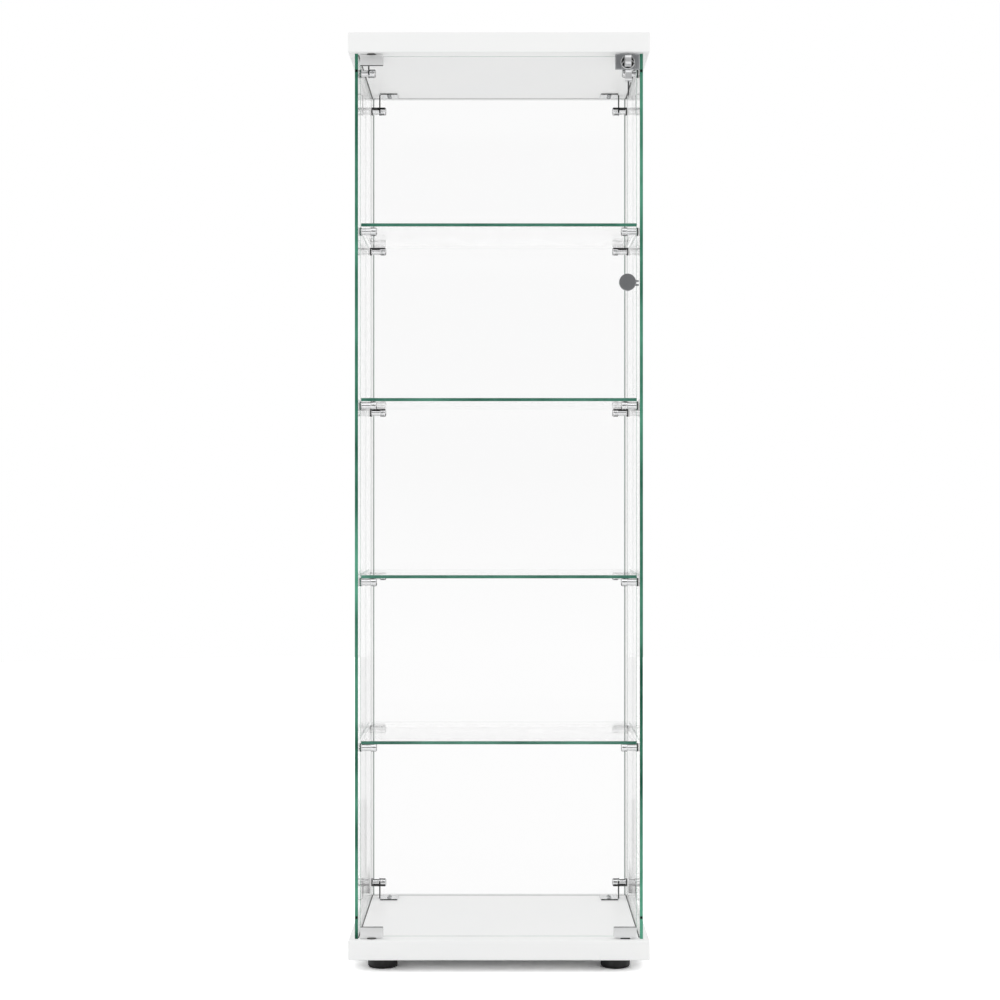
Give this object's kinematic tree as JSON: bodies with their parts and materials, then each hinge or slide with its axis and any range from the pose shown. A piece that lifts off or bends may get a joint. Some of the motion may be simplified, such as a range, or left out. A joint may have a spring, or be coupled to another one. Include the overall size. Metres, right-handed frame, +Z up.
{
  "type": "display case",
  "caption": "Tall free-standing glass display case: white top and base boards, glass walls and shelves on chrome studs, and a lockable glass door on pivot hinges.",
  "frame": {"origin": "on the floor under the centre of the boards", "axes": "+X to the right seen from the front, +Y to the back, +Z up; the door faces -Y"},
  "size_m": [0.425, 0.3792, 1.324],
  "materials": {
    "white_board": "white melamine facing, satin",
    "float_glass": "clear float glass with green polished edges",
    "chrome": "bright chrome plate",
    "zinc_plated_steel": "bright zinc plate",
    "black_plastic": "moulded, matt",
    "nylon": "moulded nylon",
    "magnet": "dark ceramic magnet",
    "rubber": "soft, matt",
    "satin_steel": "satin, turned",
    "lock_zinc": "satin die-cast zinc",
    "brass": "nickel-plated brass",
    "nickel_silver": "bright nickel silver",
    "key_plastic": "pale moulded grip"
  },
  "bodies": {
    "case": {"base_board": "white_board", "top_board": "white_board", "left_glass": "float_glass", "right_glass": "float_glass", "back_glass": "float_glass", "shelf_1_glass": "float_glass", "shelf_2_glass": "float_glass", "shelf_3_glass": "float_glass", "shelf_4_glass": "float_glass", "shelf_stud_shanks": "chrome", "shelf_stud_caps": "chrome", "rear_top_left_bracket": "zinc_plated_steel", "rear_top_right_bracket": "zinc_plated_steel", "rear_bottom_left_bracket": "zinc_plated_steel", "rear_bottom_right_bracket": "zinc_plated_steel", "front_top_left_bracket": "zinc_plated_steel", "front_top_right_bracket": "zinc_plated_steel", "bracket_stud_shanks": "chrome", "bracket_stud_caps": "chrome", "feet": "black_plastic", "hinge_washers": "nylon", "catch_magnet": "magnet"},
    "door": {"door_glass": "float_glass", "upper_hinge_clamp": "zinc_plated_steel", "lower_hinge_clamp": "zinc_plated_steel", "catch_clamp": "zinc_plated_steel", "upper_clamp_lining": "rubber", "lower_clamp_lining": "rubber", "catch_clamp_lining": "rubber", "door_knob": "satin_steel", "knob_clip": "zinc_plated_steel", "knob_clip_pads": "rubber", "lock_case": "lock_zinc", "lock_rear_housing": "lock_zinc", "lock_barrel": "chrome"},
    "plug": {"lock_plug": "brass", "lock_cam": "zinc_plated_steel"},
    "key": {"key_blade": "nickel_silver", "key_head": "key_plastic"},
    "ring": {"key_ring": "zinc_plated_steel"},
    "spare_key": {"spare_key_blade": "nickel_silver", "spare_key_head": "key_plastic"}
  },
  "joints": [
    {"name": "door_swing", "type": "hinge", "parent": "case", "child": "door", "pos_m": [-0.1799, -0.16825, 0.671], "axis": [0, 0, -1], "range_deg": [0, 120]},
    {"name": "lock_turn", "type": "hinge", "parent": "door", "child": "plug", "pos_m": [0.1817, -0.1554, 1.2833], "axis": [0, 1, 0], "range_deg": [0, 90]},
    {"name": "key_draw", "type": "slide", "parent": "plug", "child": "key", "axis": [0, -1, 0], "range_m": [0, 0.02]},
    {"name": "ring_swing", "type": "hinge", "parent": "key", "child": "ring", "pos_m": [0.1817, -0.1893, 1.2833], "axis": [-1, 0, 0], "range_deg": [-10, 75]},
    {"name": "spare_slip", "type": "hinge", "parent": "ring", "child": "spare_key", "pos_m": [0.1817, -0.1893, 1.27456], "axis": [0, 1, 0], "range_deg": [-60, 60]}
  ]
}
